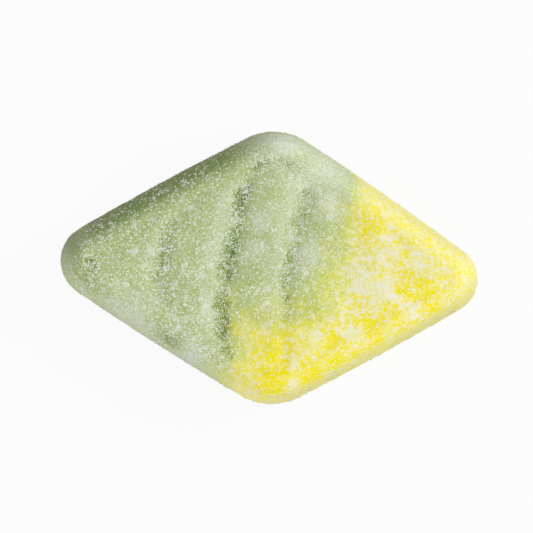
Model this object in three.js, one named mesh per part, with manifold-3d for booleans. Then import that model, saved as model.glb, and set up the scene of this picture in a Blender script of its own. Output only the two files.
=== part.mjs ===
// A sour foam candy: a soft rhombus of green and yellow foam, moulded with plain cross ribs and rolled in
// sugar. Millimetres, +Z up. The origin is on the table under the middle of the candy, with +X along its
// length towards the yellow tip. It is one solid: both foams set together and the sugar is stuck on.
import * as THREE from "three";
import { mergeVertices } from "three/addons/utils/BufferGeometryUtils.js";
import Module from "manifold-3d";

// Driving dimensions of the outline, seen from above
const LENGTH = 42;
const WIDTH = 27.5;
const THICKNESS = 10.5;
// Where the four sides would meet if they ran on to sharp corners, as shares of LENGTH and WIDTH, and how
// round each corner is. The set foam is a little uneven, so no two corners are alike.
const CORNERS = {
  green_tip: { x: -0.588 * LENGTH, y: -0.005 * WIDTH, radius: 3.8 },
  far_corner: { x: 0.004 * LENGTH, y: 0.537 * WIDTH, radius: 5.95 },
  yellow_tip: { x: 0.575 * LENGTH, y: -0.015 * WIDTH, radius: 3.5 },
  near_corner: { x: 0.0155 * LENGTH, y: -0.534 * WIDTH, radius: 6.05 },
};
const SIDE_BULGE = 0.13; // how far the middle of each side bows out

// The side wall and shoulder, from the table up: how far in from the widest outline, and how high
const WALL = [
  { inset: 1.35, height: 0 },
  { inset: 0.6, height: 0.22 },
  { inset: 0.13, height: 0.85 },
  { inset: 0, height: 1.9 },
  { inset: 0.22, height: 4.3 },
  { inset: 0.55, height: 6.5 },
  { inset: 0.98, height: 8.0 },
  { inset: 1.6, height: 9.0 },
  { inset: 2.45, height: 9.55 },
];
const SHOULDER = WALL[WALL.length - 1];

// The moulded face: a groove inside the rim, and cross grooves that part the field into five ribs
const RIM_GROOVE = { inset: 3.1, depth: 0.2, halfWidth: 0.7 };
const CROSS_GROOVES = {
  count: 4,
  pitch: 6.3,
  middle: -1.2,
  depth: 0.55,
  halfWidth: 0.85,
  lean: 0.1,
  bow: 1.9,
};
const GROOVE_DEPTHS = [0.6, 1, 0.65, 0.3]; // how well each cross groove has kept its shape
const GROOVE_ENDS = { from: 2.9, to: 4.6 }; // insets over which the cross grooves run out
const RIB_CROWN = 0.1; // how far the middle of a rib stands above its edges
const FACE_RISE = { from: 1.45, to: 11.5 }; // insets over which the face rises to its middle

// Slow swells of the set foam: height, turns per millimetre along X and Y, and phase
const WAVES = [
  { height: 0.11, x: 0.082, y: 0.035, phase: 0.4 },
  { height: 0.08, x: -0.05, y: 0.11, phase: 2.1 },
  { height: 0.06, x: 0.16, y: 0.13, phase: 4.4 },
];
const WAVES_START = { from: SHOULDER.inset, to: 4.5 }; // insets over which they come in

// Sugar: the coarsest of the coat, whole blocks and broken chips, stuck part way into the skin.
// Sizes are the longest side; lift is how far above the skin a crystal's middle lies, as a share of that.
const BLOCKS = { count: 56, smallest: 0.45, largest: 0.65, lift: 0.02 };
const CHIPS = { count: 214, smallest: 0.35, largest: 0.55, lift: -0.04 };
const THINNEST = 0.6; // a crystal's shorter sides, as a share of its longest
const THICKEST = 0.9;
const SUGAR_LOWEST = 1.3; // the sugar stays this far above the table, so that the base lies flat
const SUGAR_SEED = 11;
const PLACES_TRIED = 12; // for each crystal, of which the place furthest from the others is kept
const SLIVER = 0.004; // edges shorter than this are closed up after the sugar is joined on

// The moulded face's facets: how many along each side, and the half diagonals of their straight middle
const GRID = 36;
const STRAIGHT_ROWS = { x: 0.47 * LENGTH, y: 0.444 * WIDTH };

// The two foams: yellow past an edge that runs down the face and bends back below the green. x is where
// it crosses the middle, lean and bend are its slopes above and further below that, blend its half width.
const GREEN = new THREE.Color(0xbcc69e);
const YELLOW = new THREE.Color(0xf0e98c);
const COLOUR_EDGE = { x: 6.9, lean: 0.2, bend: 0.95, round: 2, blend: 2 };

const smoothstep = THREE.MathUtils.smoothstep;
const bell = (distance, halfWidth) => Math.exp(-((distance / halfWidth) ** 2));

// The outline between the middles of two neighbouring corner arcs, as one curve
function outlineSide(from, to, before, after) {
  const arcAt = (corner, previous, next) => {
    const here = new THREE.Vector2(corner.x, corner.y);
    const back = new THREE.Vector2(previous.x, previous.y).sub(here).normalize();
    const on = new THREE.Vector2(next.x, next.y).sub(here).normalize();
    const half = Math.acos(back.dot(on)) / 2;
    const inward = back.clone().add(on).normalize();
    const reach = corner.radius / Math.tan(half);
    return {
      centre: here.clone().addScaledVector(inward, corner.radius / Math.sin(half)),
      enter: here.clone().addScaledVector(back, reach),
      leave: here.clone().addScaledVector(on, reach),
      middle: Math.atan2(-inward.y, -inward.x),
    };
  };
  const angleOf = (arc, point) => Math.atan2(point.y - arc.centre.y, point.x - arc.centre.x);
  const arc = (at, radius, start, end) =>
    new THREE.EllipseCurve(at.centre.x, at.centre.y, radius, radius, start, end, true);
  const first = arcAt(from, before, to);
  const last = arcAt(to, from, after);
  const along = last.enter.clone().sub(first.leave).normalize();
  const bowed = first.leave.clone().lerp(last.enter, 0.5); // the curve comes half way out to this point
  bowed.add(new THREE.Vector2(-along.y, along.x).multiplyScalar(2 * SIDE_BULGE));
  const side = new THREE.CurvePath();
  side.add(arc(first, from.radius, first.middle, angleOf(first, first.leave)));
  side.add(new THREE.QuadraticBezierCurve(first.leave, bowed, last.enter));
  side.add(arc(last, to.radius, angleOf(last, last.enter), last.middle));
  return side;
}

// Points of the widest outline, clockwise from the green tip, each with its outward direction
function outlinePoints(perSide) {
  const corners = [CORNERS.green_tip, CORNERS.far_corner, CORNERS.yellow_tip, CORNERS.near_corner];
  const at = (i) => corners[(i + corners.length) % corners.length];
  const points = corners.flatMap((corner, i) =>
    outlineSide(corner, at(i + 1), at(i - 1), at(i + 2)).getSpacedPoints(perSide).slice(0, perSide),
  );
  return points.map((point, i) => {
    const next = points[(i + 1) % points.length];
    const previous = points[(i + points.length - 1) % points.length];
    const along = next.clone().sub(previous).normalize();
    return { x: point.x, y: point.y, outX: -along.y, outY: along.x };
  });
}

const rimPoints = outlinePoints(GRID);
const fineOutline = outlinePoints(4 * GRID);

function insetOf(x, y) {
  return Math.min(...fineOutline.map((p) => Math.hypot(p.x - x, p.y - y)));
}

function crossGrooves(x, y, inset) {
  const { count, pitch, middle, depth, halfWidth, lean, bow } = CROSS_GROOVES;
  const kept = smoothstep(inset, GROOVE_ENDS.from, GROOVE_ENDS.to);
  const line = x - middle - lean * y - bow * ((2 * y) / WIDTH) ** 2;
  let cut = 0;
  for (let i = 0; i < count; i++) {
    const offset = line - (i - (count - 1) / 2) * pitch;
    cut += depth * GROOVE_DEPTHS[i] * bell(offset, halfWidth);
  }
  const acrossRib = Math.cos((2 * Math.PI * line) / pitch + Math.PI * (count % 2));
  return kept * (RIB_CROWN * acrossRib - cut);
}

// Height of the moulded face over a point inside the shoulder
function faceHeight(x, y, inset) {
  const crown = THICKNESS - SHOULDER.height - RIB_CROWN;
  const rise = crown * smoothstep(inset, FACE_RISE.from, FACE_RISE.to);
  const rimGroove = RIM_GROOVE.depth * bell(inset - RIM_GROOVE.inset, RIM_GROOVE.halfWidth);
  const swell = WAVES.reduce(
    (sum, w) => sum + w.height * Math.sin(2 * Math.PI * (w.x * x + w.y * y) + w.phase),
    0,
  );
  const waving = smoothstep(inset, WAVES_START.from, WAVES_START.to);
  return SHOULDER.height + rise - rimGroove + crossGrooves(x, y, inset) + waving * swell;
}

// Where a grid point of the moulded face lies: straight rows in the middle, rings along the outline outside
function facePlace(i, j) {
  const u = (2 * i) / GRID - 1;
  const v = (2 * j) / GRID - 1;
  const ring = Math.max(Math.abs(u), Math.abs(v));
  const edge = rimPoints[rimIndex(ring ? u / ring : -1, ring ? v / ring : -1)];
  const toRim = { x: edge.x - SHOULDER.inset * edge.outX, y: edge.y - SHOULDER.inset * edge.outY };
  const straight = { x: ((u + v) / 2) * STRAIGHT_ROWS.x, y: ((v - u) / 2) * STRAIGHT_ROWS.y };
  const share = ring ** 2;
  return {
    x: (1 - share) * straight.x + share * ring * toRim.x,
    y: (1 - share) * straight.y + share * ring * toRim.y,
  };
}

// The outline point that a point of the unit square's border stands for; (-1, -1) is the green tip
function rimIndex(u, v) {
  const steps = (from, value) => (Math.abs(value - from) / 2) * GRID;
  let index;
  if (u <= -1 && v < 1) index = steps(-1, v);
  else if (v >= 1 && u < 1) index = GRID + steps(-1, u);
  else if (u >= 1 && v > -1) index = 2 * GRID + steps(1, v);
  else index = 3 * GRID + steps(1, u);
  return Math.round(index) % rimPoints.length;
}

// The body: wall rings from the table up to the shoulder, the moulded face on top and a flat base below
function foamBody() {
  const positions = [];
  const triangles = [];
  const quad = (a, b, c, d) => triangles.push(a, b, c, a, c, d);
  const around = rimPoints.length;
  WALL.forEach(({ inset, height }) =>
    rimPoints.forEach((p) => positions.push(p.x - inset * p.outX, p.y - inset * p.outY, height)),
  );
  for (let level = 0; level + 1 < WALL.length; level++)
    for (let k = 0; k < around; k++) {
      const low = level * around;
      const next = (k + 1) % around;
      quad(low + k, low + around + k, low + around + next, low + next);
    }
  const topRing = (WALL.length - 1) * around;
  const faceStart = positions.length / 3;
  const faceVertex = (i, j) => {
    const onBorder = i === 0 || j === 0 || i === GRID || j === GRID;
    if (onBorder) return topRing + rimIndex((2 * i) / GRID - 1, (2 * j) / GRID - 1);
    return faceStart + (i - 1) * (GRID - 1) + (j - 1);
  };
  for (let i = 1; i < GRID; i++)
    for (let j = 1; j < GRID; j++) {
      const { x, y } = facePlace(i, j);
      positions.push(x, y, faceHeight(x, y, insetOf(x, y)));
    }
  for (let i = 0; i < GRID; i++)
    for (let j = 0; j < GRID; j++)
      quad(faceVertex(i + 1, j), faceVertex(i + 1, j + 1), faceVertex(i, j + 1), faceVertex(i, j));
  const base = rimPoints.map((p, k) => new THREE.Vector2(positions[3 * k], positions[3 * k + 1]));
  THREE.ShapeUtils.triangulateShape(base, []).forEach(([a, b, c]) => {
    const upwards = THREE.ShapeUtils.area([base[a], base[b], base[c]]) > 0;
    triangles.push(a, upwards ? c : b, upwards ? b : c);
  });
  const body = new THREE.BufferGeometry();
  body.setAttribute("position", new THREE.Float32BufferAttribute(positions, 3));
  body.setIndex(triangles);
  return body;
}

// A repeatable draw of numbers from 0 to 1
function drawFrom(seed) {
  let state = seed;
  return () => {
    state = (Math.imul(state, 1664525) + 1013904223) >>> 0;
    return state / 2 ** 32;
  };
}

// Points spread over the skin, by area, each as far from the others as its tries allow
function sugarPlaces(body, count, draw) {
  const corner = (index) => new THREE.Vector3().fromBufferAttribute(body.attributes.position, index);
  const faces = [];
  let area = 0;
  for (let t = 0; t < body.index.count; t += 3) {
    const [a, b, c] = [0, 1, 2].map((k) => corner(body.index.getX(t + k)));
    const triangle = new THREE.Triangle(a, b, c);
    if (Math.min(a.z, b.z, c.z) < SUGAR_LOWEST) continue;
    area += triangle.getArea();
    faces.push({ triangle, upTo: area, normal: triangle.getNormal(new THREE.Vector3()) });
  }
  const placeOnSkin = () => {
    const wanted = draw() * area;
    const { triangle, normal } = faces.find((face) => face.upTo >= wanted);
    const [s, t] = [Math.sqrt(draw()), draw()];
    const point = new THREE.Vector3()
      .addScaledVector(triangle.a, 1 - s)
      .addScaledVector(triangle.b, s * (1 - t))
      .addScaledVector(triangle.c, s * t);
    return { point, normal };
  };
  const places = [];
  const room = (place) => Math.min(...places.map((p) => p.point.distanceTo(place.point)), LENGTH);
  while (places.length < count) {
    const tries = Array.from({ length: PLACES_TRIED }, placeOnSkin);
    places.push(tries.reduce((best, one) => (room(one) > room(best) ? one : best)));
  }
  return places;
}

// One crystal of a kind, longer one way than the others, turned at random and pressed into the skin
function crystal({ point, normal }, kind, draw) {
  const size = kind.smallest + (kind.largest - kind.smallest) * draw() ** 2;
  const shape = kind === BLOCKS ? new THREE.BoxGeometry(1, 1, 1) : new THREE.OctahedronGeometry(0.5);
  const shorter = () => THINNEST + (THICKEST - THINNEST) * draw();
  const scale = new THREE.Vector3(1, shorter(), shorter()).multiplyScalar(size);
  const turn = new THREE.Quaternion().setFromEuler(
    new THREE.Euler(draw() * Math.PI, draw() * Math.PI, draw() * Math.PI),
  );
  const centre = point.clone().addScaledVector(normal, size * kind.lift);
  return shape.applyMatrix4(new THREE.Matrix4().compose(centre, turn, scale));
}

const wasm = await Module();
wasm.setup();

function solidFrom(geometry) {
  const bare = geometry.clone();
  bare.deleteAttribute("normal");
  bare.deleteAttribute("uv");
  const merged = mergeVertices(bare);
  return new wasm.Manifold(
    new wasm.Mesh({
      numProp: 3,
      vertProperties: merged.attributes.position.array,
      triVerts: new Uint32Array(merged.index.array),
    }),
  );
}

function geometryFrom(solid) {
  const { vertProperties, triVerts, numProp } = solid.getMesh();
  const position = new Float32Array((vertProperties.length / numProp) * 3);
  for (let i = 0; i < position.length / 3; i++)
    position.set(vertProperties.subarray(i * numProp, i * numProp + 3), 3 * i);
  const geometry = new THREE.BufferGeometry();
  geometry.setAttribute("position", new THREE.BufferAttribute(position, 3));
  geometry.setIndex(new THREE.BufferAttribute(triVerts, 1));
  geometry.computeVertexNormals();
  return geometry;
}

// Green foam on one side of a slanting edge and yellow on the other, running into each other
function foamColours(geometry) {
  const { x: edgeX, lean, bend, round, blend } = COLOUR_EDGE;
  const place = geometry.attributes.position;
  const colours = new Float32Array(place.count * 3);
  for (let i = 0; i < place.count; i++) {
    const x = place.getX(i);
    const y = place.getY(i);
    const pastEdge = x - edgeX - lean * y - (bend / 2) * (y - Math.hypot(y, round));
    const mixed = GREEN.clone().lerp(YELLOW, smoothstep(pastEdge, -blend, blend));
    mixed.toArray(colours, 3 * i);
  }
  return new THREE.BufferAttribute(colours, 3);
}

function sugaredCandy() {
  const draw = drawFrom(SUGAR_SEED);
  const body = foamBody();
  const kinds = [BLOCKS, CHIPS].flatMap((kind) => Array(kind.count).fill(kind));
  const places = sugarPlaces(body, kinds.length, draw);
  const sugar = places.map((place, i) => solidFrom(crystal(place, kinds[i], draw)));
  const whole = wasm.Manifold.union([solidFrom(body), ...sugar]).simplify(SLIVER);
  const geometry = geometryFrom(whole);
  geometry.setAttribute("color", foamColours(geometry));
  const sugaredFoam = new THREE.MeshStandardMaterial({
    vertexColors: true,
    roughness: 0.75,
    metalness: 0,
    flatShading: true,
  });
  const mesh = new THREE.Mesh(geometry, sugaredFoam);
  mesh.name = "sugared_foam";
  return mesh;
}

const candy = new THREE.Group();
candy.add(sugaredCandy());

export default candy;
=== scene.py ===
"""A sour foam candy: a soft green and yellow rhombus of foam with plain cross ribs, rolled in sugar."""

import math
import random

import bmesh
import bpy
import numpy as np
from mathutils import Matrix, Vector, noise


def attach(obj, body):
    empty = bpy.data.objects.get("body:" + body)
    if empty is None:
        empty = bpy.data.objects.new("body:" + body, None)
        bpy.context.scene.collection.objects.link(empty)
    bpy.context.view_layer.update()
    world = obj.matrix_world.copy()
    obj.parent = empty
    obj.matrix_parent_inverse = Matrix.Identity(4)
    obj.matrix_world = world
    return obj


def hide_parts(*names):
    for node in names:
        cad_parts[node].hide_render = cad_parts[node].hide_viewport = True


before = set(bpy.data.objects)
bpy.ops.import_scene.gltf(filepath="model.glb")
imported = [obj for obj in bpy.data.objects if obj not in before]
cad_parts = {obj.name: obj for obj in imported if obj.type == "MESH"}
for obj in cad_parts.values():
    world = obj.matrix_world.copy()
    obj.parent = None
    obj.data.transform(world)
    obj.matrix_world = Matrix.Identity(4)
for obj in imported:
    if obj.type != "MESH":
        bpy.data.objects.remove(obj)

bl_info = {
    "name": "Sour foam candy",
    "version": (1, 0, 0),
    "blender": (4, 5, 0),
    "location": "3D View > Sidebar > Sour candy",
    "description": "A foam rhombus in green and yellow with moulded ribs and a coat of sugar",
    "category": "Add Mesh",
}

NODE = "sugared_foam"
BODY = "root"

# Everything is modelled in millimetres and scaled to metres when it is finished
MM = 0.001

# The outline of the bare foam, seen from above: where its sides would meet, as shares of its length and
# width, and how round each corner is
CORNERS = (
    {"x": -0.588, "y": -0.005, "radius": 3.8},
    {"x": 0.0155, "y": -0.534, "radius": 6.05},
    {"x": 0.575, "y": -0.015, "radius": 3.5},
    {"x": 0.004, "y": 0.537, "radius": 5.95},
)
CORNER_SEGMENTS = 20
# How far a side bows out in its middle, and how often it is cut for that
SIDE_BULGE = 0.13
SIDE_CUTS = 24

# The heights of the widest band, and the wall and shoulder above and below it: how far in, and how high
WIDEST = {"low": 1.6, "high": 2.2}
WALL_UP = ((0.06, 3.2), (0.22, 4.3), (0.55, 6.5), (0.98, 8.0), (1.6, 9.0), (2.45, 9.55))
WALL_DOWN = ((0.13, 0.85), (0.6, 0.22), (1.35, 0.0))
# How the steps of the evened mesh are smoothed away
SMOOTHING = {"rounds": 12, "factor": 0.5}

# The moulded face sets in between these depths below the shoulder's top, and this far outside it
FACE_EDGE = {"below": (0.8, 0.2), "outside": 0.7}
# How far in from the outline the face starts to rise and is at its full thickness
FACE_RISE = (1.45, 11.5)
# The face's slow swells, as height, waves per millimetre across and up, and phase, and where they set in
WAVES = ((0.11, 0.082, 0.035, 0.4), (0.08, -0.05, 0.11, 2.1), (0.06, 0.16, 0.13, 4.4))
WAVES_START = (2.45, 4.5)

# Noise on the skin is given by the size of its lumps, its seed, and how far it reaches up and down, or for
# patches by their edge, the noise at which they begin and are full. Each seed moves it by this much
SEED_SHIFT = (17.3, 5.1, 29.7)

# The shallow groove inside the rim, and the patches in which it is kept
RIM_GROOVE = {"inset": 3.1, "depth": 0.2, "half_width": 0.7}
RIM_KEPT = {"size": 3.4, "edge": (-0.3, 0.3), "seed": 10}

# The cross grooves: how far apart, where the middle of them all is, how they lean, and how far both their
# ends bow to the right. Their depths, from the left, are shares of the deepest
GROOVES = {"pitch": 6.3, "middle": -1.2, "half_width": 0.85, "lean": 0.1, "bow": 1.9}
GROOVE_DEPTHS = (0.6, 1.0, 0.65, 0.3)
# How far in from the outline they begin and are full, and how they wander to and fro
GROOVE_ENDS = (2.9, 4.6)
GROOVE_WANDER = {"size": 4.5, "reach": 0.3, "seed": 8}
# The patches in which they are filled, and how far they are there and on the yellow foam
GROOVE_FADES = {"size": 3.6, "edge": (-0.1, 0.5), "seed": 9}
GROOVES_FILLED = {"patches": 0.45, "yellow": 0.5}
# How unevenly the groove mark, and with it the painted shade and the sugar of a groove, shows
GROOVE_BLOTCHES = {"size": 0.8, "reach": 0.9, "seed": 7}
# How far the ribs between them are crowned
RIB_CROWN = 0.1
# The lip to the left of a groove, on the side that the soft box lights, where fine sugar gathers; its
# white is partly sugar and partly painted light. How much of it each groove has, and how white
LIT_LIP = {"aside": 1.5, "half_width": 0.8, "sugar": (0.3, 1.0, 0.65, 0.3), "haze_and_painted_light": 0.75}

# The skin's own lumps, the heights between which they set in above the flat base, and how much rougher
# the grooves and smoother the yellow foam are
LUMPS = (
    {"size": 1.7, "reach": 0.035, "seed": 0},
    {"size": 0.7, "reach": 0.02, "seed": 1},
    {"size": 0.34, "reach": 0.012, "seed": 2},
)
LUMPS_START = (0.1, 0.9)
GROOVE_ROUGHER = 4.0
YELLOW_SMOOTHER = 0.5

# Where the yellow foam begins: points up the face, as y, x and how far the foams run into each other
COLOUR_EDGE = (
    (-14.0, -5.0, 1.8),
    (-10.4, -3.8, 2.5),
    (-7.7, -2.9, 2.8),
    (-5.4, -1.8, 2.8),
    (-4.4, 2.7, 3.6),
    (-1.7, 6.0, 3.8),
    (2.8, 7.5, 3.0),
    (6.0, 7.6, 2.2),
    (8.8, 8.4, 1.2),
    (14.0, 8.8, 0.8),
)
# How far past that edge, in widths of the run, each thing starts to turn yellow and has turned
TURNS_YELLOW = {
    "grooves": (-1, 0.5),
    "lumps": (-0.5, 0.8),
    "sugar": (-0.6, 0.8),
    "lime": (-1.2, 0.3),
    "colour": (-0.2, 1.2),
}

# Where loose sugar has gathered on the foam: x, y, radius
DRIFTS = (
    (11.0, -1.6, 2.0),
    (9.4, -1.2, 1.6),
    (8.8, 0.3, 1.3),
    (12.6, -2.4, 0.8),
    (14.3, -3.2, 1.1),
    (11.3, 1.6, 0.9),
    (11.6, 3.4, 0.6),
    (15.0, 1.3, 0.9),
    (8.6, -6.4, 1.1),
    (4.8, -6.6, 0.6),
    (2.9, -9.7, 0.6),
    (2.9, -11.4, 0.6),
    (1.3, 12.9, 1.7),
)
# Small clumps of sugar, strewn at random: how many, their radius, and the least, greatest and likeliest
# x and y of their middles
CLUMPS = {"count": 160, "radius": (0.15, 0.4), "x": (-20, 14, -12), "y": (-12, 12, -4), "seed": 21}
# How ragged a drift is, how near its middle it begins and is full, and the heights where it sets in
DRIFT_RAGS = ({"size": 0.9, "reach": 0.5, "seed": 5}, {"size": 0.35, "reach": 0.35, "seed": 6})
DRIFT_EDGE = (0.2, 1.1)
DRIFT_HEIGHTS = (6.5, 8.5)

# Where fine sugar hazes the green foam over, as x, y, radius, and the heights between which it sets in
HAZES = (
    (5.0, 10.0, 2.8),
    (1.0, 12.8, 3.2),
    (-13.5, -5.0, 2.0),
    (-7.5, -8.8, 1.6),
    (5.8, 6.8, 1.6),
    (2.6, 8.6, 1.8),
    (-1.1, 4.6, 1.3),
    (-1.3, 1.9, 1.1),
    (3.8, 1.4, 1.4),
)
HAZE_HEIGHTS = (2, 6)

# How white the sugar makes the yellow foam: in general, and where it lies thickly or thinly
YELLOW_FROST = {"even": 0.38, "drifts": 0.36, "bare": 0.38}
# Where the sugar on the yellow foam is thin, as x, y, radius, and the heights between which that sets in
BARE_PLACES = (
    (10.4, -5.4, 1.1),
    (11.2, -7.1, 1.0),
    (9.0, -8.4, 0.8),
    (14.2, -6.2, 1.1),
    (11.6, -3.4, 0.9),
    (6.4, -6.6, 0.9),
    (15.4, -1.7, 1.4),
    (13.3, -1.4, 0.8),
    (16.6, -3.4, 0.7),
    (9.6, 4.8, 1.1),
    (6.8, -9.2, 1.3),
    (4.9, -10.6, 1.5),
    (0.9, -10.8, 2.0),
    (0.8, -8.3, 1.8),
    (1.4, -5.8, 1.3),
    (3.8, -5.0, 1.0),
)
BARE_HEIGHTS = (7, 9)
# How far in from the outline the softer, thinner sugar of the rim starts to end, and ends
RIM_REACH = (1.5, 4.5)

# Spots of the rim groove painted with the shade of a groove, and given groove sugar, as x, y, radius, and
# how strong that painted shade is
RIM_SHADE_SPOTS = (
    (-1.4, 10.5, 1.6),
    (1.4, 10.9, 0.9),
    (-18.2, -0.8, 2.6),
    (-9.6, -7.4, 1.2),
    (-3.8, -8.5, 1.0),
)
RIM_SHADE_DEPTH = 0.7

# The green wall that faces away from the soft box, which has little sugar and is painted with shade: its
# ends as x, y, and how far from that line it reaches
BARE_SHADED_WALL = {"start": (-17.2, 3.8), "end": (-5.4, 11.0), "reach": 2.1}
# Where the green shoulder has little sugar and is painted with shade, as x, y, radius, and the heights
# between which that sets in
BARE_SHADED_SHOULDER = ((-9.7, -8.1, 1.4), (-17.7, -1.3, 1.5))
SHOULDER_HEIGHTS = (5, 8)
# The heights between which both give way to the sugared face
FACE_HEIGHTS = (8.4, 10.2)

# The shader's noise runs from 0 to 1, and its lumps are given as size, detail and roughness
NOISE_MIDDLE = 0.5
# Two sizes of lumps that move the edge of the yellow foam, and how far
EDGE_WANDER = ((2.6, 2.0), (0.5, 1.4))
# The finest sugar on the green foam: what it is like, how white each kind makes the foam, and the little
# that is trimmed off everywhere
SPECKS = {"lumps": (0.15, 1.0), "edge": (0.45, 0.55)}
BLOTCHES = {"lumps": (0.4, 2.0), "edge": (0.4, 0.65)}
HAZE_CLOUDS = {"lumps": (0.3, 2.5, 0.9), "contrast": 2.4, "gaps": 0.2}
GREEN_FROST = {"specks": 0.27, "blotches": 0.12, "trim": 0.01, "haze_and_painted_light": 0.34, "drifts": 0.35}
# The flakes of sugar on the yellow foam, which are softer and thinner at the rim
FLAKES = {"lumps": (0.55, 2.5, 0.9), "contrast": 2.7, "softer_at_rim": 0.8, "thinner_at_rim": 0.03}
# The painted shade: a darker green that stands in for the shade in the grooves and on the wall turned from
# the soft box. How far into a groove it starts and is full, how much of it the bare wall has, and how far
# specks of sugar hide it, the yellow foam is spared it, and it stays clear of frost
PAINTED_SHADE = {"groove": (0.12, 0.85), "wall": 0.75, "specks": 0.65, "yellow": 0.8, "frost": 0.9}
# The foam's fine grain, and how much smoother the yellow foam is
GRAIN = {"lumps": (0.16, 2.0, 0.6), "height": 0.05, "strength": 0.5, "smoother_yellow": 0.7}
# Soft and dull; light spreads 1.6 millimetres through the foam, and blue light half as far
FOAM_FINISH = {
    "Roughness": 0.62,
    "Specular IOR Level": 0.15,
    "Subsurface Weight": 0.25,
    "Subsurface Radius": (0.0016, 0.0016, 0.0008),
    "Subsurface Scale": 1.0,
}
SUGAR_FINISH = {"Roughness": 0.4, "Specular IOR Level": 0.1}

# The sugar, kind by kind
# tries: how many crystals are strewn, before those that come too near another are left out
# taper: 0 for a block, 1 for a crystal that comes to a point
# apart: the side of the cube of space that a crystal has to itself
# size: the least and greatest length
# thickness, lift: how thick it is and how far its middle stands off the foam, as shares of its length
# lean: about how steeply it tilts
# cover: how far it hides the colour of the foam
# upward: how far it is as light as a level face, and not as the foam that it lies on
SUGAR = {
    "sugar_grains": {
        "tries": 22000,
        "taper": 1.0,
        "apart": 0.12,
        "size": (0.08, 0.15),
        "thickness": (0.5, 0.8),
        "lift": -0.1,
        "lean": 0.15,
        "cover": (0.1, 0.6),
        "upward": 0.3,
    },
    "sugar_sparks": {
        "tries": 8800,
        "taper": 0.0,
        "apart": 0.2,
        "size": (0.1, 0.18),
        "thickness": (0.5, 0.9),
        "lift": -0.05,
        "lean": 0.2,
        "cover": (0.6, 1.0),
        "upward": 0.7,
    },
    "sugar_grooves": {
        "tries": 1500,
        "taper": 0.0,
        "apart": 0.15,
        "size": (0.1, 0.17),
        "thickness": (0.5, 0.9),
        "lift": 0.0,
        "lean": 0.3,
        "cover": (0.5, 1.0),
        "upward": 0.95,
    },
    "sugar_drifts": {
        "tries": 2400,
        "taper": 0.0,
        "apart": 0.16,
        "size": (0.1, 0.18),
        "thickness": (0.5, 0.8),
        "lift": 0.0,
        "lean": 0.2,
        "cover": (0.4, 0.9),
        "upward": 0.5,
    },
}
# The narrowest and broadest crystal, as shares of its length
CRYSTAL_WIDTH = (0.7, 1)
# How far frosting makes all sides of a crystal alike in light
FROSTED = 0.9
# How far upwards the foam's normal points where a crystal starts to count as level, and fully does
LEVEL = (0.2, 0.9)

# The even coat: how dense between patches, how much denser in them, and how much thinner on yellow foam
COAT = {"least": 0.65, "in_patches": 0.35, "thinner_on_yellow": 0.5}
COAT_PATCHES = {"size": 0.8, "edge": (-0.3, 0.4), "seed": 4}
# How far upwards the foam's normal points where the coat is full, and how far downwards where it ends,
# which on the yellow foam is a little less far
COAT_FULL = 0.7
COAT_ENDS = {"overhang": 0.35, "less_on_yellow": 0.1}
# How much denser the sparks are to the left and, on the green foam, to the front, and how far from the
# middle that starts and is full
SPARKS_LEFT = {"more": 0.8, "from": (3, 9)}
SPARKS_FRONT = {"more": 1.2, "from": (4, 8)}
SPARKS_MORE_ON_YELLOW = 0.8
# The bare wall has more of the fine grains and fewer sparks
WALL_MORE_GRAINS = 1.2
WALL_FEWER_SPARKS = 0.6
# How deep in a groove its own sugar starts and is full
GROOVE_SUGAR = (0.05, 0.4)

# How many points are measured from the outline at once
POINTS_AT_ONCE = 4000

# The photo's view: straight down, turned a little, with its middle beside the candy's own
CAMERA_TURN = math.radians(2.6)
CAMERA_LENS_MM = 400
CAMERA_SENSOR_MM = 36
CAMERA_REACH_METRES = 10
FRAME_PIXELS = 533
PIXELS_PER_MM = 9.952
VIEW_MIDDLE = (-0.28, 0.12)

# The soft box: where it hangs and how wide it is, in metres
BOX_PLACE = (0.56, 0.255, 0.51)
BOX_SIZE = 0.4

# The white card to the left of the candy and in front of it, low down
CARD_PLACE = (-0.32, -0.7, 0.21)
CARD_SIZE = 0.4

# The floor: half its side in metres, its grey, how dull it is, and how nearly white it looks to the camera
FLOOR = {"half_side": 1.5, "grey": 0.65, "roughness": 0.9, "seen_white": 0.93}
WHITE = (1, 1, 1, 1)


def smoothstep(value, start, end):
    """0 below start and 1 above end, smooth between."""
    t = np.clip((value - start) / (end - start), 0, 1)
    return t * t * (3 - 2 * t)


def bell(offset, half_width):
    """1 where offset is 0, falling away smoothly on both sides."""
    return np.exp(-((offset / half_width) ** 2))


def noise_field(points, size, seed):
    """Smooth noise from -1 to 1 at each point, with lumps of that size."""
    shift = Vector([seed * step for step in SEED_SHIFT])
    return np.array([noise.noise(Vector(point) / size + shift) for point in points])


def uneven(points, *layers):
    """The sum of some layers of noise at each point."""
    return sum(layer["reach"] * noise_field(points, layer["size"], layer["seed"]) for layer in layers)


def patches(points, kind):
    """Patches with soft edges, 1 in them and 0 between them."""
    return smoothstep(noise_field(points, kind["size"], kind["seed"]), *kind["edge"])


class Wire:
    """What a shader socket gives. Arithmetic on it, where it is a number, adds Math nodes."""

    def __init__(self, recipe, socket):
        self.recipe = recipe
        self.socket = socket

    def math(self, operation, *values):
        """Adds a Math node on some values and gives its result."""
        settings = {"operation": operation}
        return self.recipe.node("ShaderNodeMath", settings, dict(enumerate(values)))["Value"]

    def __add__(self, other):
        return self.math("ADD", self, other)

    def __sub__(self, other):
        return self.math("SUBTRACT", self, other)

    def __rsub__(self, other):
        return self.math("SUBTRACT", other, self)

    def __mul__(self, other):
        return self.math("MULTIPLY", self, other)

    __radd__ = __add__
    __rmul__ = __mul__

    def step(self, start, end):
        """0 below start and 1 above end, smooth between."""
        settings = {"interpolation_type": "SMOOTHSTEP"}
        sockets = {"Value": self, "From Min": start, "From Max": end}
        return self.recipe.node("ShaderNodeMapRange", settings, sockets)["Result"]


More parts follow.
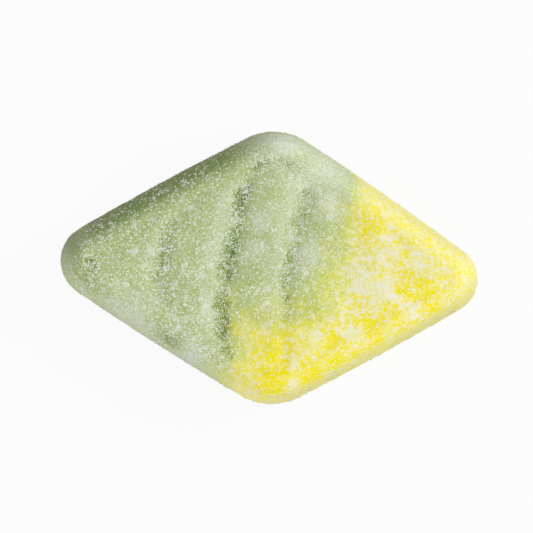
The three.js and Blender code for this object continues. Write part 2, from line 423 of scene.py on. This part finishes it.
class Recipe:
    """The node tree of one material."""

    def __init__(self, name):
        self.material = bpy.data.materials.new(name)
        self.material.use_nodes = True
        self.tree = self.material.node_tree
        self.shader = self.tree.nodes["Principled BSDF"]

    @staticmethod
    def socket(node, key):
        """An input of a node, by its number or else by its name."""
        if isinstance(key, int):
            return node.inputs[key]
        return next(s for s in node.inputs if s.enabled and key in (s.name, s.identifier))

    def fill(self, node, sockets):
        """Sets or links the sockets of a node."""
        for key, value in sockets.items():
            if isinstance(value, Wire):
                self.tree.links.new(value.socket, self.socket(node, key))
            else:
                self.socket(node, key).default_value = value

    def node(self, kind, settings=None, sockets=None):
        """Adds a node, its settings first, and gives its outputs by name."""
        made = self.tree.nodes.new(kind)
        for name, value in (settings or {}).items():
            setattr(made, name, value)
        self.fill(made, sockets or {})
        return {output.name: Wire(self, output) for output in made.outputs if output.enabled}

    def place(self):
        """The place on the piece, in its own coordinates."""
        return self.node("ShaderNodeTexCoord")["Object"]

    def lumps(self, size_mm, detail=2.0, roughness=0.5):
        """Noise from 0 to 1 with lumps of about that size."""
        scale = 1 / (size_mm * MM)
        sockets = {"Vector": self.place(), "Scale": scale, "Detail": detail, "Roughness": roughness}
        return self.node("ShaderNodeTexNoise", None, sockets)["Fac"]

    def attribute(self, name):
        """A number that the mesh keeps at its vertices."""
        return self.node("ShaderNodeAttribute", {"attribute_name": name})["Fac"]

    def blend(self, share, first, second):
        """The first colour where share is 0 and the second where it is 1."""
        sockets = {"Factor": share, "A": first, "B": second}
        return self.node("ShaderNodeMix", {"data_type": "RGBA"}, sockets)["Result"]

    def bump(self, height, distance_mm, strength):
        """A normal that leans as if the surface stood out by that height."""
        sockets = {"Height": height, "Distance": distance_mm * MM, "Strength": strength}
        return self.node("ShaderNodeBump", None, sockets)["Normal"]


class FoamSettings(bpy.types.PropertyGroup):
    """Sizes and colours of the bare foam."""

    length: bpy.props.FloatProperty(name="Length", description="Tip to tip", default=0.042, unit="LENGTH")
    width: bpy.props.FloatProperty(
        name="Width", description="Corner to corner", default=0.0275, unit="LENGTH"
    )
    thickness: bpy.props.FloatProperty(
        name="Thickness", description="Base to the top of the ribs", default=0.0105, unit="LENGTH"
    )
    groove_depth: bpy.props.FloatProperty(
        name="Groove depth",
        description="Depth of the deepest cross groove",
        default=0.00055,
        unit="LENGTH",
    )
    coat: bpy.props.FloatProperty(
        name="Coat",
        description="Room that the fine sugar takes on the foam",
        default=0.00004,
        unit="LENGTH",
    )
    facet: bpy.props.FloatProperty(
        name="Facet", description="Size of the foam's facets", default=0.000166, unit="LENGTH"
    )
    green: bpy.props.FloatVectorProperty(
        name="Green", description="The green foam", default=(0.4, 0.5, 0.155), subtype="COLOR"
    )
    # Painted shade: a darker green that stands in for the shade in the grooves and on the wall turned from
    # the soft box
    shaded_green: bpy.props.FloatVectorProperty(
        name="Deep green",
        description="The green foam in its grooves",
        default=(0.14, 0.235, 0.012),
        subtype="COLOR",
    )
    yellow: bpy.props.FloatVectorProperty(
        name="Yellow", description="The yellow foam", default=(0.87, 0.76, 0.005), subtype="COLOR"
    )
    lime: bpy.props.FloatVectorProperty(
        name="Lime",
        description="Where the two foams run into each other",
        default=(0.58, 0.62, 0.03),
        subtype="COLOR",
    )


class SugarSettings(bpy.types.PropertyGroup):
    """The coat of sugar."""

    seed: bpy.props.IntProperty(name="Seed", description="Another spread of the crystals", default=7)
    white: bpy.props.FloatVectorProperty(
        name="Sugar", description="Frosted crystals", default=(0.83, 0.84, 0.79), subtype="COLOR"
    )


class StageSettings(bpy.types.PropertyGroup):
    """The light."""

    key: bpy.props.FloatProperty(name="Key light", description="Strength of the soft box", default=5.1)
    card: bpy.props.FloatProperty(name="Card", description="Strength of the white card", default=3.1)
    fill: bpy.props.FloatProperty(
        name="Fill light", description="Strength of the even light", default=0.37
    )


def outline_shape(settings, inset):
    """A bmesh with one face, the rounded rhombus, drawn in by inset."""
    size = Vector((settings.length, settings.width)) / MM
    shape = bmesh.new()
    tips = [shape.verts.new((corner["x"] * size.x, corner["y"] * size.y, 0)) for corner in CORNERS]
    shape.faces.new(tips)
    for tip, corner in zip(tips, CORNERS):
        round_corner(shape, tip, corner["radius"])
    for side in sorted(shape.edges, key=lambda edge: edge.calc_length())[-len(CORNERS) :]:
        bow_side(shape, side)
    bmesh.ops.inset_region(
        shape, faces=shape.faces[:], thickness=inset, use_boundary=True, use_even_offset=True
    )
    middle = max(shape.faces, key=lambda face: face.calc_area())
    bmesh.ops.delete(shape, geom=[face for face in shape.faces if face != middle], context="FACES")
    return shape


def round_corner(shape, tip, radius):
    """Cuts a corner off in short steps and lays them on an arc of that radius."""
    first, second = (edge.other_vert(tip).co - tip.co for edge in tip.link_edges)
    half_angle = first.angle(second) / 2
    inward = (first.normalized() + second.normalized()).normalized()
    centre = tip.co + inward * radius / math.sin(half_angle)
    cut = bmesh.ops.bevel(
        shape,
        geom=[tip],
        affect="VERTICES",
        offset=radius / math.tan(half_angle),
        offset_type="OFFSET",
        segments=CORNER_SEGMENTS,
        profile=0.5,
        material=-1,
    )
    for vert in cut["verts"]:
        vert.co = centre + (vert.co - centre).normalized() * radius


def bow_side(shape, side):
    """Cuts a straight side into short ones and bows them out, most in the middle."""
    start, end = (vert.co.copy() for vert in side.verts)
    outward = (end - start).cross(Vector((0, 0, 1))).normalized()
    if outward.dot(start + end) < 0:
        outward.negate()
    cut = bmesh.ops.subdivide_edges(shape, edges=[side], cuts=SIDE_CUTS)
    for vert in (item for item in cut["geom_inner"] if isinstance(item, bmesh.types.BMVert)):
        t = (vert.co - start).length / (end - start).length
        vert.co += outward * SIDE_BULGE * 4 * t * (1 - t)


def draw_in(shape, face, levels, height):
    """Insets a face and lifts it, level by level, to make the wall on its side of the widest band."""
    inset = 0.0
    for next_inset, next_height in levels:
        bmesh.ops.inset_region(
            shape,
            faces=[face],
            thickness=next_inset - inset,
            depth=abs(next_height - height),
            use_even_offset=True,
        )
        inset, height = next_inset, next_height


def foam_blank(settings):
    """The foam before its face is moulded, with wall, shoulder and flat base, and its outline's points."""
    coat = settings.coat / MM
    shape = outline_shape(settings, coat)
    outline = np.array([vert.co[:2] for vert in shape.verts])
    base = shape.faces[:][0]
    base.normal_update()
    if base.normal.z > 0:
        base.normal_flip()
    bmesh.ops.translate(shape, verts=shape.verts[:], vec=(0, 0, WIDEST["low"]))
    grown = bmesh.ops.extrude_face_region(shape, geom=[base], use_keep_orig=True)["geom"]
    top = next(item for item in grown if isinstance(item, bmesh.types.BMFace))
    bmesh.ops.translate(shape, verts=top.verts[:], vec=(0, 0, WIDEST["high"] - WIDEST["low"]))
    bmesh.ops.recalc_face_normals(shape, faces=shape.faces[:])
    draw_in(shape, top, WALL_UP, WIDEST["high"])
    draw_in(shape, base, [(inset, max(height, coat)) for inset, height in WALL_DOWN], WIDEST["low"])
    return shape, outline


def evened(shape, facet):
    """The shape as a mesh of even square facets, its steps smoothed away."""
    mesh = bpy.data.meshes.new("foam")
    shape.to_mesh(mesh)
    shape.free()
    blank = bpy.data.objects.new("blank", mesh)
    bpy.context.scene.collection.objects.link(blank)
    remesh = blank.modifiers.new("even", "REMESH")
    remesh.mode = "VOXEL"
    remesh.voxel_size = facet
    remesh.use_smooth_shade = True
    graph = bpy.context.evaluated_depsgraph_get()
    even = bpy.data.meshes.new_from_object(blank.evaluated_get(graph))
    bpy.data.objects.remove(blank)
    smooth_steps(even)
    return even


def smooth_steps(mesh):
    """Smooths a mesh in place."""
    shape = bmesh.new()
    shape.from_mesh(mesh)
    for _ in range(SMOOTHING["rounds"]):
        bmesh.ops.smooth_vert(
            shape,
            verts=shape.verts[:],
            factor=SMOOTHING["factor"],
            use_axis_x=True,
            use_axis_y=True,
            use_axis_z=True,
        )
    shape.to_mesh(mesh)
    shape.free()


def read_all(items, key, size=1, kind=float):
    """One property of all vertices, facets or corners, as rows where it has several numbers."""
    values = np.empty(len(items) * size, kind)
    items.foreach_get(key, values)
    return values if size == 1 else values.reshape(-1, size)


def vertex_places(mesh):
    """Where the vertices of a mesh lie."""
    return read_all(mesh.vertices, "co", 3)


def move_vertices(mesh, places):
    """Puts the vertices of a mesh in new places."""
    mesh.vertices.foreach_set("co", places.ravel())
    mesh.update()


def keep(mesh, name, values):
    """Keeps a number for each vertex of the mesh under that name."""
    attribute = mesh.attributes.new(name, "FLOAT", "POINT")
    attribute.data.foreach_set("value", values.astype(np.float32))


def inset_from(points, outline):
    """How far in from the outline each point lies, seen from above."""
    found = np.empty(len(points))
    for start in range(0, len(points), POINTS_AT_ONCE):
        some = slice(start, start + POINTS_AT_ONCE)
        aside = points[some, None, :2] - outline[None]
        found[some] = np.sqrt((aside**2).sum(2).min(1))
    return found


def away_from(points, start, end):
    """How far each point lies from a straight line between two places, seen from above."""
    along = np.subtract(end, start)
    aside = points[:, :2] - start
    t = np.clip(aside @ along / (along @ along), 0, 1)
    return np.linalg.norm(aside - t[:, None] * along, axis=1)


def near(points, places):
    """How near each point is to the nearest of some places, 1 in its middle and 0 well outside it."""
    share = np.zeros(len(points))
    for x, y, radius in places:
        away = np.hypot(points[:, 0] - x, points[:, 1] - y)
        share = np.maximum(share, bell(away, radius))
    return share


def past_edge(points):
    """How far past the edge of the yellow foam each point lies, in widths of the run; green is below 0."""
    heights, across, runs = np.array(COLOUR_EDGE).T
    edge = np.column_stack([across, heights])
    nearest = np.min([away_from(points, start, end) for start, end in zip(edge[:-1], edge[1:])], axis=0)
    side = points[:, 0] - np.interp(points[:, 1], heights, across)
    return np.sign(side) * nearest / np.interp(points[:, 1], heights, runs)


def groove_line(points, width):
    """How far to the right of the middle of the cross grooves each point lies, as they lean and bow."""
    x, y = points[:, 0], points[:, 1]
    line = x - GROOVES["middle"] - GROOVES["lean"] * y - GROOVES["bow"] * (2 * y / width) ** 2
    return line + uneven(points, GROOVE_WANDER)


def grooves_kept(points, inset):
    """How much of the cross grooves is left at each point."""
    kept = smoothstep(inset, *GROOVE_ENDS)
    kept *= 1 - GROOVES_FILLED["patches"] * patches(points, GROOVE_FADES)
    return kept * (1 - GROOVES_FILLED["yellow"] * smoothstep(past_edge(points), *TURNS_YELLOW["grooves"]))


def groove_share(points, inset, width):
    """How deep in a cross groove each point lies, how its rib is crowned, and how near a lip of sugar and
    painted light it is.
    """
    line = groove_line(points, width)
    kept = grooves_kept(points, inset)
    middle = (len(GROOVE_DEPTHS) - 1) / 2
    cut = np.zeros(len(points))
    lit_lip = np.zeros(len(points))
    for i, (depth, sugar) in enumerate(zip(GROOVE_DEPTHS, LIT_LIP["sugar"])):
        offset = (i - middle) * GROOVES["pitch"]
        cut += depth * bell(line - offset, GROOVES["half_width"])
        # The lit lip: white that is partly sugar and partly painted light
        lit_lip += sugar * bell(line - offset + LIT_LIP["aside"], LIT_LIP["half_width"])
    crown = np.cos(2 * math.pi * line / GROOVES["pitch"])
    return kept * cut, kept * crown, kept * lit_lip


def face_share(points, inset):
    """How far each point of the blank belongs to the moulded face, 0 on the wall and 1 inside it."""
    shoulder_inset, shoulder_height = WALL_UP[-1]
    lowest, highest = (shoulder_height - drop for drop in FACE_EDGE["below"])
    share = smoothstep(points[:, 2], lowest, highest)
    return share * smoothstep(inset, shoulder_inset - FACE_EDGE["outside"], shoulder_inset)


def face_relief(points, inset, band, groove, crown, settings):
    """How far the moulded face stands above the top of the blank at each point."""
    rise = (settings.thickness / MM - WALL_UP[-1][1] - RIB_CROWN) * smoothstep(inset, *FACE_RISE)
    rim = band * patches(points, RIM_KEPT)
    swell = np.zeros(len(points))
    for height, across, up, phase in WAVES:
        swell += height * np.sin(2 * math.pi * (across * points[:, 0] + up * points[:, 1]) + phase)
    face = rise - RIM_GROOVE["depth"] * rim + smoothstep(inset, *WAVES_START) * swell
    face += RIB_CROWN * crown - settings.groove_depth / MM * groove
    return face


def moulded(mesh, outline, settings):
    """Presses the ribs and grooves into the top, and keeps on the mesh what colour, painted shade and
    sugar go by.
    """
    points = vertex_places(mesh)
    inset = inset_from(points, outline)
    groove, crown, lit_lip = groove_share(points, inset, settings.width / MM)
    band = bell(inset - RIM_GROOVE["inset"], RIM_GROOVE["half_width"])
    on_face = face_share(points, inset)
    points[:, 2] += on_face * face_relief(points, inset, band, groove, crown, settings)
    move_vertices(mesh, points)
    # Painted shade in spots of the rim groove, added to the groove mark
    rim_shade = RIM_SHADE_DEPTH * band * near(points, RIM_SHADE_SPOTS)
    groove = on_face * np.clip((groove + rim_shade) * (1 + uneven(points, GROOVE_BLOTCHES)), 0, 1)
    drift = drift_share(points)
    roughen(mesh, points, groove)
    marks = {
        # The groove mark also says where the grooves are painted with shade
        "groove": groove,
        "past_edge": past_edge(points),
        "drift": drift,
        "frosting": frosting(points, drift),
        "rim": 1 - smoothstep(inset, *RIM_REACH),
        # Sugar haze, and on the lit lips of the grooves partly painted light
        "haze_and_painted_light": np.maximum(haze_share(points), LIT_LIP["haze_and_painted_light"] * lit_lip * on_face),
        # Where the wall and shoulder are bare of sugar and painted with shade
        "wall": bare_shaded_wall(points),
    }
    for name, values in marks.items():
        keep(mesh, name, values)


def roughen(mesh, points, groove):
    """Adds the lumps and pits that the foam has under its sugar."""
    normals = read_all(mesh.vertex_normals, "vector", 3)
    bumps = uneven(points, *LUMPS)
    bumps *= smoothstep(points[:, 2], *LUMPS_START) * (1 + GROOVE_ROUGHER * groove)
    bumps *= 1 - YELLOW_SMOOTHER * smoothstep(past_edge(points), *TURNS_YELLOW["lumps"])
    points += normals * bumps[:, None]
    move_vertices(mesh, points)


def clumps():
    """Places for small clumps of sugar, more of them towards the left and the front."""
    draw = random.Random(CLUMPS["seed"])
    across, up = CLUMPS["x"], CLUMPS["y"]
    places = [(draw.triangular(*across), draw.triangular(*up)) for _ in range(CLUMPS["count"])]
    return [(x, y, draw.uniform(*CLUMPS["radius"])) for x, y in places]


def drift_share(points):
    """How thickly loose sugar covers each point, in ragged patches on the upper side."""
    drifts = smoothstep(near(points, [*DRIFTS, *clumps()]) + uneven(points, *DRIFT_RAGS), *DRIFT_EDGE)
    return drifts * smoothstep(points[:, 2], *DRIFT_HEIGHTS)


def haze_share(points):
    """How far fine sugar hazes the green foam over at each point."""
    return near(points, HAZES) * smoothstep(points[:, 2], *HAZE_HEIGHTS)


def bare_shaded_wall(points):
    """How bare of sugar the green wall and shoulder are at each point, and how much shade is painted
    there.
    """
    wall = bell(away_from(points, BARE_SHADED_WALL["start"], BARE_SHADED_WALL["end"]), BARE_SHADED_WALL["reach"])
    shoulder = near(points, BARE_SHADED_SHOULDER) * smoothstep(points[:, 2], *SHOULDER_HEIGHTS)
    return np.maximum(wall, shoulder) * (1 - smoothstep(points[:, 2], *FACE_HEIGHTS))


def frosting(points, drift):
    """How white the sugar makes the yellow foam at each point, from 0 to 1."""
    bare = near(points, BARE_PLACES) * smoothstep(points[:, 2], *BARE_HEIGHTS)
    return YELLOW_FROST["even"] + YELLOW_FROST["drifts"] * drift - YELLOW_FROST["bare"] * bare


def add_piece(name, mesh, material):
    """Adds a finished mesh, still in millimetres, to the candy."""
    move_vertices(mesh, vertex_places(mesh) * MM)
    mesh.materials.clear()
    mesh.materials.append(material)
    piece = bpy.data.objects.new(name, mesh)
    bpy.context.scene.collection.objects.link(piece)
    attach(piece, BODY)
    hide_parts(NODE)
    return piece


def dusting(paint, kind):
    """Specks or blotches of the finest sugar, 1 where they lie and 0 between them."""
    return paint.lumps(*kind["lumps"]).step(*kind["edge"])


def foam_colour(paint, settings):
    """The foam's colour, green that runs into yellow and is painted darker as shade in grooves and on the
    bare wall; how yellow; how much painted shade.
    """
    broad, fine = ((paint.lumps(size) - NOISE_MIDDLE) * reach for size, reach in EDGE_WANDER)
    past = paint.attribute("past_edge") + (broad + fine)
    yellow = past.step(*TURNS_YELLOW["colour"])
    foam = paint.blend(past.step(*TURNS_YELLOW["lime"]), (*settings.green, 1), (*settings.lime, 1))
    foam = paint.blend(yellow, foam, (*settings.yellow, 1))
    unhidden = 1 - dusting(paint, SPECKS) * PAINTED_SHADE["specks"]
    groove_shade = paint.attribute("groove").step(*PAINTED_SHADE["groove"]) * unhidden
    # Painted shade: the grooves and the bare wall are painted a darker green
    painted_shade = (groove_shade + paint.attribute("wall") * PAINTED_SHADE["wall"]) * (1 - yellow * PAINTED_SHADE["yellow"])
    return paint.blend(painted_shade, foam, (*settings.shaded_green, 1)), yellow, painted_shade


def frost_on_green(paint):
    """How white the sugar makes the green foam: dust all over, hazes and drifts here and there, and
    painted light on the lips.
    """
    specks = dusting(paint, SPECKS) * GREEN_FROST["specks"]
    blotches = dusting(paint, BLOTCHES) * GREEN_FROST["blotches"]
    clouds = paint.lumps(*HAZE_CLOUDS["lumps"]) * HAZE_CLOUDS["contrast"] - HAZE_CLOUDS["gaps"]
    haze_and_painted_light = paint.attribute("haze_and_painted_light") * clouds * GREEN_FROST["haze_and_painted_light"]
    drifts = paint.attribute("drift") * GREEN_FROST["drifts"]
    return specks + blotches - GREEN_FROST["trim"] + haze_and_painted_light + drifts


def frost_on_yellow(paint):
    """How white the sugar makes the yellow foam, in flakes."""
    contrast = FLAKES["contrast"] - paint.attribute("rim") * FLAKES["softer_at_rim"]
    flakes = (paint.lumps(*FLAKES["lumps"]) - NOISE_MIDDLE) * contrast
    thinner = paint.attribute("rim") * FLAKES["thinner_at_rim"]
    return (flakes + paint.attribute("frosting") - thinner).step(0.0, 1.0)


def foam_material(settings, sugar):
    """Green foam that runs into yellow, with painted shade, dusted with the finest sugar."""
    paint = Recipe("candy_foam")
    foam, yellow, painted_shade = foam_colour(paint, settings)
    frost = frost_on_green(paint) * (1 - yellow) + frost_on_yellow(paint) * yellow
    # The painted shade is mostly kept clear of frost
    frost = frost * (1 - painted_shade * PAINTED_SHADE["frost"])
    grain = paint.lumps(*GRAIN["lumps"]) * (1 - yellow * GRAIN["smoother_yellow"])
    sockets = {
        "Base Color": paint.blend(frost, foam, (*sugar.white, 1)),
        "Normal": paint.bump(grain, GRAIN["height"], GRAIN["strength"]),
        **FOAM_FINISH,
    }
    paint.fill(paint.shader, sockets)
    return paint.material


def sugar_material(settings, sugar):
    """Frosted sugar, whose thinner crystals let the colour of the foam, with its painted shade, through.
    """
    paint = Recipe("sugar_crystals")
    foam, _, _ = foam_colour(paint, settings)
    colour = paint.blend(paint.attribute("cover"), foam, (*sugar.white, 1))
    paint.fill(paint.shader, {"Base Color": colour, **SUGAR_FINISH})
    return paint.material


def grain_template(taper):
    """One crystal, one unit long, as its corners and faces: a block, or one that tapers to its top."""
    half_diagonal = math.sqrt(0.5)
    shape = bmesh.new()
    bmesh.ops.create_cone(
        shape,
        cap_ends=True,
        segments=4,
        radius1=half_diagonal,
        radius2=half_diagonal * (1 - taper),
        depth=1,
    )
    corners = np.array([vert.co[:] for vert in shape.verts])
    shape.verts.index_update()
    faces = [[vert.index for vert in face.verts] for face in shape.faces]
    shape.free()
    return corners, faces


def skin_of(foam):
    """Middles, normals and areas of the foam's facets, in millimetres, and what the foam keeps there."""
    mesh = foam.data
    first_corner = read_all(mesh.polygons, "loop_start", kind=int)
    vertex = read_all(mesh.loops, "vertex_index", kind=int)[first_corner]
    skin = {
        "middle": read_all(mesh.polygons, "center", 3) / MM,
        "normal": read_all(mesh.polygons, "normal", 3),
        "area": read_all(mesh.polygons, "area") / MM**2,
    }
    for name in ("groove", "past_edge", "drift", "wall"):
        skin[name] = read_all(mesh.attributes[name].data, "value", kind=np.float32)[vertex]
    return skin


def apart(middles, chosen, width):
    """Leaves out the crystals that would lie in the same small cube of space as another."""
    cubes = np.floor(middles[chosen] / width).astype(int)
    first = np.unique(cubes, axis=0, return_index=True)[1]
    return chosen[np.sort(first)]


def strewn(kind, skin, wanted, draw):
    """The facets on which crystals of a kind lie, drawn as densely as wanted says."""
    odds = skin["area"] * wanted
    chosen = draw.choice(len(odds), size=kind["tries"], p=odds / odds.sum())
    return apart(skin["middle"], chosen, kind["apart"])


def crystal_sides(kind, count, draw):
    """Length, width and thickness of each crystal; most are short."""
    shortest, longest = kind["size"]
    length = shortest + (longest - shortest) * draw.random(count) ** 2
    thickness = draw.uniform(*kind["thickness"], count)
    width = draw.uniform(*CRYSTAL_WIDTH, count)
    return np.column_stack([np.ones(count), width, thickness]) * length[:, None]


def settled(normals, lean, draw):
    """Turns that lay crystals flat on the skin, spun at random and leaning by about that slope."""
    up = normals + lean * draw.normal(size=normals.shape)
    up /= np.linalg.norm(up, axis=1)[:, None]
    side = np.cross(up, draw.normal(size=normals.shape))
    side /= np.linalg.norm(side, axis=1)[:, None]
    return np.stack([side, np.cross(up, side), up], axis=2)


def laid(kind, skin, chosen, sides, draw):
    """How the crystals on the chosen facets are turned, and their middles, up to half a facet aside."""
    normals = skin["normal"][chosen]
    turns = settled(normals, kind["lean"], draw)
    aside = draw.uniform(-0.5, 0.5, (len(chosen), 1)) * np.sqrt(skin["area"][chosen])[:, None]
    lift = kind["lift"] * sides[:, :1]
    return turns, skin["middle"][chosen] + normals * lift + turns[:, :, 0] * aside


def frosted_normals(kind, skin, chosen, turns, corners):
    """Normals that give a crystal mostly the light of the foam below it, or that of a level face."""
    normals = skin["normal"][chosen]
    outward = np.einsum("nij,kj->nki", turns, corners / np.linalg.norm(corners, axis=1)[:, None])
    level = np.maximum(smoothstep(normals[:, 2], *LEVEL), skin["wall"][chosen])
    upward = kind["upward"] * level[:, None]
    lit = (1 - upward) * normals + upward * np.array([0, 0, 1])
    shading = FROSTED * lit[:, None] + (1 - FROSTED) * outward
    shading /= np.linalg.norm(shading, axis=2)[:, :, None]
    return shading.reshape(-1, 3)


def joined_grains(name, kind, skin, wanted, draw):
    """One mesh of many crystals of a kind, spread over the skin as densely as wanted says."""
    corners, faces = grain_template(kind["taper"])
    chosen = strewn(kind, skin, wanted, draw)
    count = len(chosen)
    sides = crystal_sides(kind, count, draw)
    turns, middles = laid(kind, skin, chosen, sides, draw)
    places = np.einsum("nij,nkj->nki", turns, corners[None] * sides[:, None]) + middles[:, None]
    places[:, :, 2] = np.maximum(places[:, :, 2], 0)
    shifted = [[v + i * len(corners) for v in face] for i in range(count) for face in faces]
    mesh = bpy.data.meshes.new(name)
    mesh.from_pydata(places.reshape(-1, 3), [], shifted)
    keep(mesh, "cover", np.repeat(draw.uniform(*kind["cover"], count), len(corners)))
    for mark in ("past_edge", "groove", "wall"):
        keep(mesh, mark, np.repeat(skin[mark][chosen], len(corners)))
    mesh.shade_smooth()
    mesh.normals_split_custom_set_from_vertices(frosted_normals(kind, skin, chosen, turns, corners))
    return mesh


def even_coat(skin, yellow):
    """How densely sugar lies on each facet outside the grooves, but for those that face the floor."""
    coat = COAT["least"] + COAT["in_patches"] * patches(skin["middle"], COAT_PATCHES)
    coat = coat * (1 - COAT["thinner_on_yellow"] * yellow) * (1 - skin["groove"])
    lowest = COAT_ENDS["less_on_yellow"] * yellow - COAT_ENDS["overhang"]
    return coat * smoothstep(skin["normal"][:, 2], lowest, COAT_FULL)


def more_sparks(skin, yellow):
    """How much denser than the even coat the sparks lie on each facet."""
    left = smoothstep(-skin["middle"][:, 0], *SPARKS_LEFT["from"])
    front = smoothstep(-skin["middle"][:, 1], *SPARKS_FRONT["from"])
    more = 1 + SPARKS_LEFT["more"] * left + SPARKS_FRONT["more"] * front * (1 - yellow)
    return more * (1 + SPARKS_MORE_ON_YELLOW * yellow) * (1 - WALL_FEWER_SPARKS * skin["wall"])


def sugar_odds(skin):
    """How densely each kind of sugar lies on each facet."""
    yellow = smoothstep(skin["past_edge"], *TURNS_YELLOW["sugar"])
    coat = even_coat(skin, yellow)
    return {
        "sugar_grains": coat * (1 + WALL_MORE_GRAINS * skin["wall"]),
        "sugar_sparks": coat * more_sparks(skin, yellow),
        "sugar_grooves": smoothstep(skin["groove"], *GROOVE_SUGAR) * (1 - yellow),
        "sugar_drifts": skin["drift"],
    }


class CANDY_OT_foam(bpy.types.Operator):
    """Make the foam body, with its ribs, colours and dusting"""

    bl_idname = "candy.foam"
    bl_label = "Foam body"

    def execute(self, context):
        settings = context.scene.candy_foam
        shape, outline = foam_blank(settings)
        mesh = evened(shape, settings.facet / MM)
        moulded(mesh, outline, settings)
        add_piece("foam", mesh, foam_material(settings, context.scene.candy_sugar))
        return {"FINISHED"}


class CANDY_OT_sugar(bpy.types.Operator):
    """Coat the foam with sugar crystals"""

    bl_idname = "candy.sugar"
    bl_label = "Sugar"

    def execute(self, context):
        settings = context.scene.candy_sugar
        skin = skin_of(bpy.data.objects["foam"])
        draw = np.random.default_rng(settings.seed)
        odds = sugar_odds(skin)
        material = sugar_material(context.scene.candy_foam, settings)
        for name, kind in SUGAR.items():
            mesh = joined_grains(name, kind, skin, odds[name], draw)
            piece = add_piece(name, mesh, material)
            # Crystals this small hardly shade the foam
            piece.visible_shadow = False
        return {"FINISHED"}


class CANDY_OT_stage(bpy.types.Operator):
    """Set up the floor, the light and the camera"""

    bl_idname = "candy.stage"
    bl_label = "Stage"

    def execute(self, context):
        settings = context.scene.candy_stage
        make_floor()
        make_light(settings)
        make_camera()
        context.scene.view_settings.view_transform = "Standard"
        return {"FINISHED"}


def floor_material():
    """A pale grey by the light that it throws back, and nearly white to the camera."""
    paint = Recipe("floor_white")
    grey = (FLOOR["grey"], FLOOR["grey"], FLOOR["grey"], 1)
    paint.fill(paint.shader, {"Base Color": grey, "Roughness": FLOOR["roughness"]})
    glow = paint.node("ShaderNodeEmission", None, {"Color": WHITE, "Strength": 1.0})["Emission"]
    seen = paint.node("ShaderNodeLightPath")["Is Camera Ray"] * FLOOR["seen_white"]
    lit = Wire(paint, paint.shader.outputs["BSDF"])
    mixed = paint.node("ShaderNodeMixShader", None, {0: seen, 1: lit, 2: glow})["Shader"]
    paint.fill(paint.tree.nodes["Material Output"], {"Surface": mixed})
    return paint.material


def make_floor():
    """A plain floor under the candy."""
    shape = bmesh.new()
    bmesh.ops.create_grid(shape, x_segments=1, y_segments=1, size=FLOOR["half_side"])
    mesh = bpy.data.meshes.new("floor")
    shape.to_mesh(mesh)
    shape.free()
    mesh.materials.append(floor_material())
    floor = bpy.data.objects.new("floor", mesh)
    bpy.context.scene.collection.objects.link(floor)


def make_light(settings):
    """A soft box to the right, a white card in front, and an even pale light all round."""
    square_light("soft_box", BOX_PLACE, BOX_SIZE, settings.key)
    square_light("white_card", CARD_PLACE, CARD_SIZE, settings.card)
    world = bpy.data.worlds.new("even_light")
    world.use_nodes = True
    background = world.node_tree.nodes["Background"]
    background.inputs["Color"].default_value = WHITE
    background.inputs["Strength"].default_value = settings.fill
    bpy.context.scene.world = world


def square_light(name, place, size, strength):
    """A square of light that faces the candy."""
    lamp = bpy.data.lights.new(name, "AREA")
    lamp.shape = "SQUARE"
    lamp.size = size
    lamp.energy = strength
    light = bpy.data.objects.new(name, lamp)
    light.location = place
    light.rotation_euler = (-light.location).to_track_quat("-Z", "Y").to_euler()
    bpy.context.scene.collection.objects.link(light)


def make_camera():
    """A long lens straight above, which frames the candy's widest band as the photo does."""
    lens = bpy.data.cameras.new("camera")
    lens.lens = CAMERA_LENS_MM
    lens.sensor_width = CAMERA_SENSOR_MM
    lens.clip_end = CAMERA_REACH_METRES
    band_height = (WIDEST["low"] + WIDEST["high"]) / 2
    height = band_height + FRAME_PIXELS / PIXELS_PER_MM * CAMERA_LENS_MM / CAMERA_SENSOR_MM
    camera = bpy.data.objects.new("camera", lens)
    camera.location = (VIEW_MIDDLE[0] * MM, VIEW_MIDDLE[1] * MM, height * MM)
    camera.rotation_euler = (0, 0, CAMERA_TURN)
    bpy.context.scene.collection.objects.link(camera)
    bpy.context.scene.camera = camera


class CANDY_PT_panel(bpy.types.Panel):
    """The candy's settings and steps."""

    bl_label = "Sour candy"
    bl_space_type = "VIEW_3D"
    bl_region_type = "UI"
    bl_category = "Sour candy"

    def draw(self, context):
        for name in ("candy_foam", "candy_sugar", "candy_stage"):
            settings = getattr(context.scene, name)
            for key in settings.bl_rna.properties.keys():
                if key not in ("rna_type", "name"):
                    self.layout.prop(settings, key)
        for operator in (CANDY_OT_foam, CANDY_OT_sugar, CANDY_OT_stage):
            self.layout.operator(operator.bl_idname)


CLASSES = (
    FoamSettings,
    SugarSettings,
    StageSettings,
    CANDY_OT_foam,
    CANDY_OT_sugar,
    CANDY_OT_stage,
    CANDY_PT_panel,
)


def register():
    """Makes the settings, the steps and the panel known to Blender."""
    for made in CLASSES:
        bpy.utils.register_class(made)
    bpy.types.Scene.candy_foam = bpy.props.PointerProperty(type=FoamSettings)
    bpy.types.Scene.candy_sugar = bpy.props.PointerProperty(type=SugarSettings)
    bpy.types.Scene.candy_stage = bpy.props.PointerProperty(type=StageSettings)


def unregister():
    """Takes them away again."""
    del bpy.types.Scene.candy_foam
    del bpy.types.Scene.candy_sugar
    del bpy.types.Scene.candy_stage
    for made in reversed(CLASSES):
        bpy.utils.unregister_class(made)


def main():
    """Builds the candy and its stage."""
    register()
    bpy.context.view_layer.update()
    bpy.ops.candy.foam()
    bpy.ops.candy.sugar()
    bpy.ops.candy.stage()


if __name__ == "__main__":
    main()
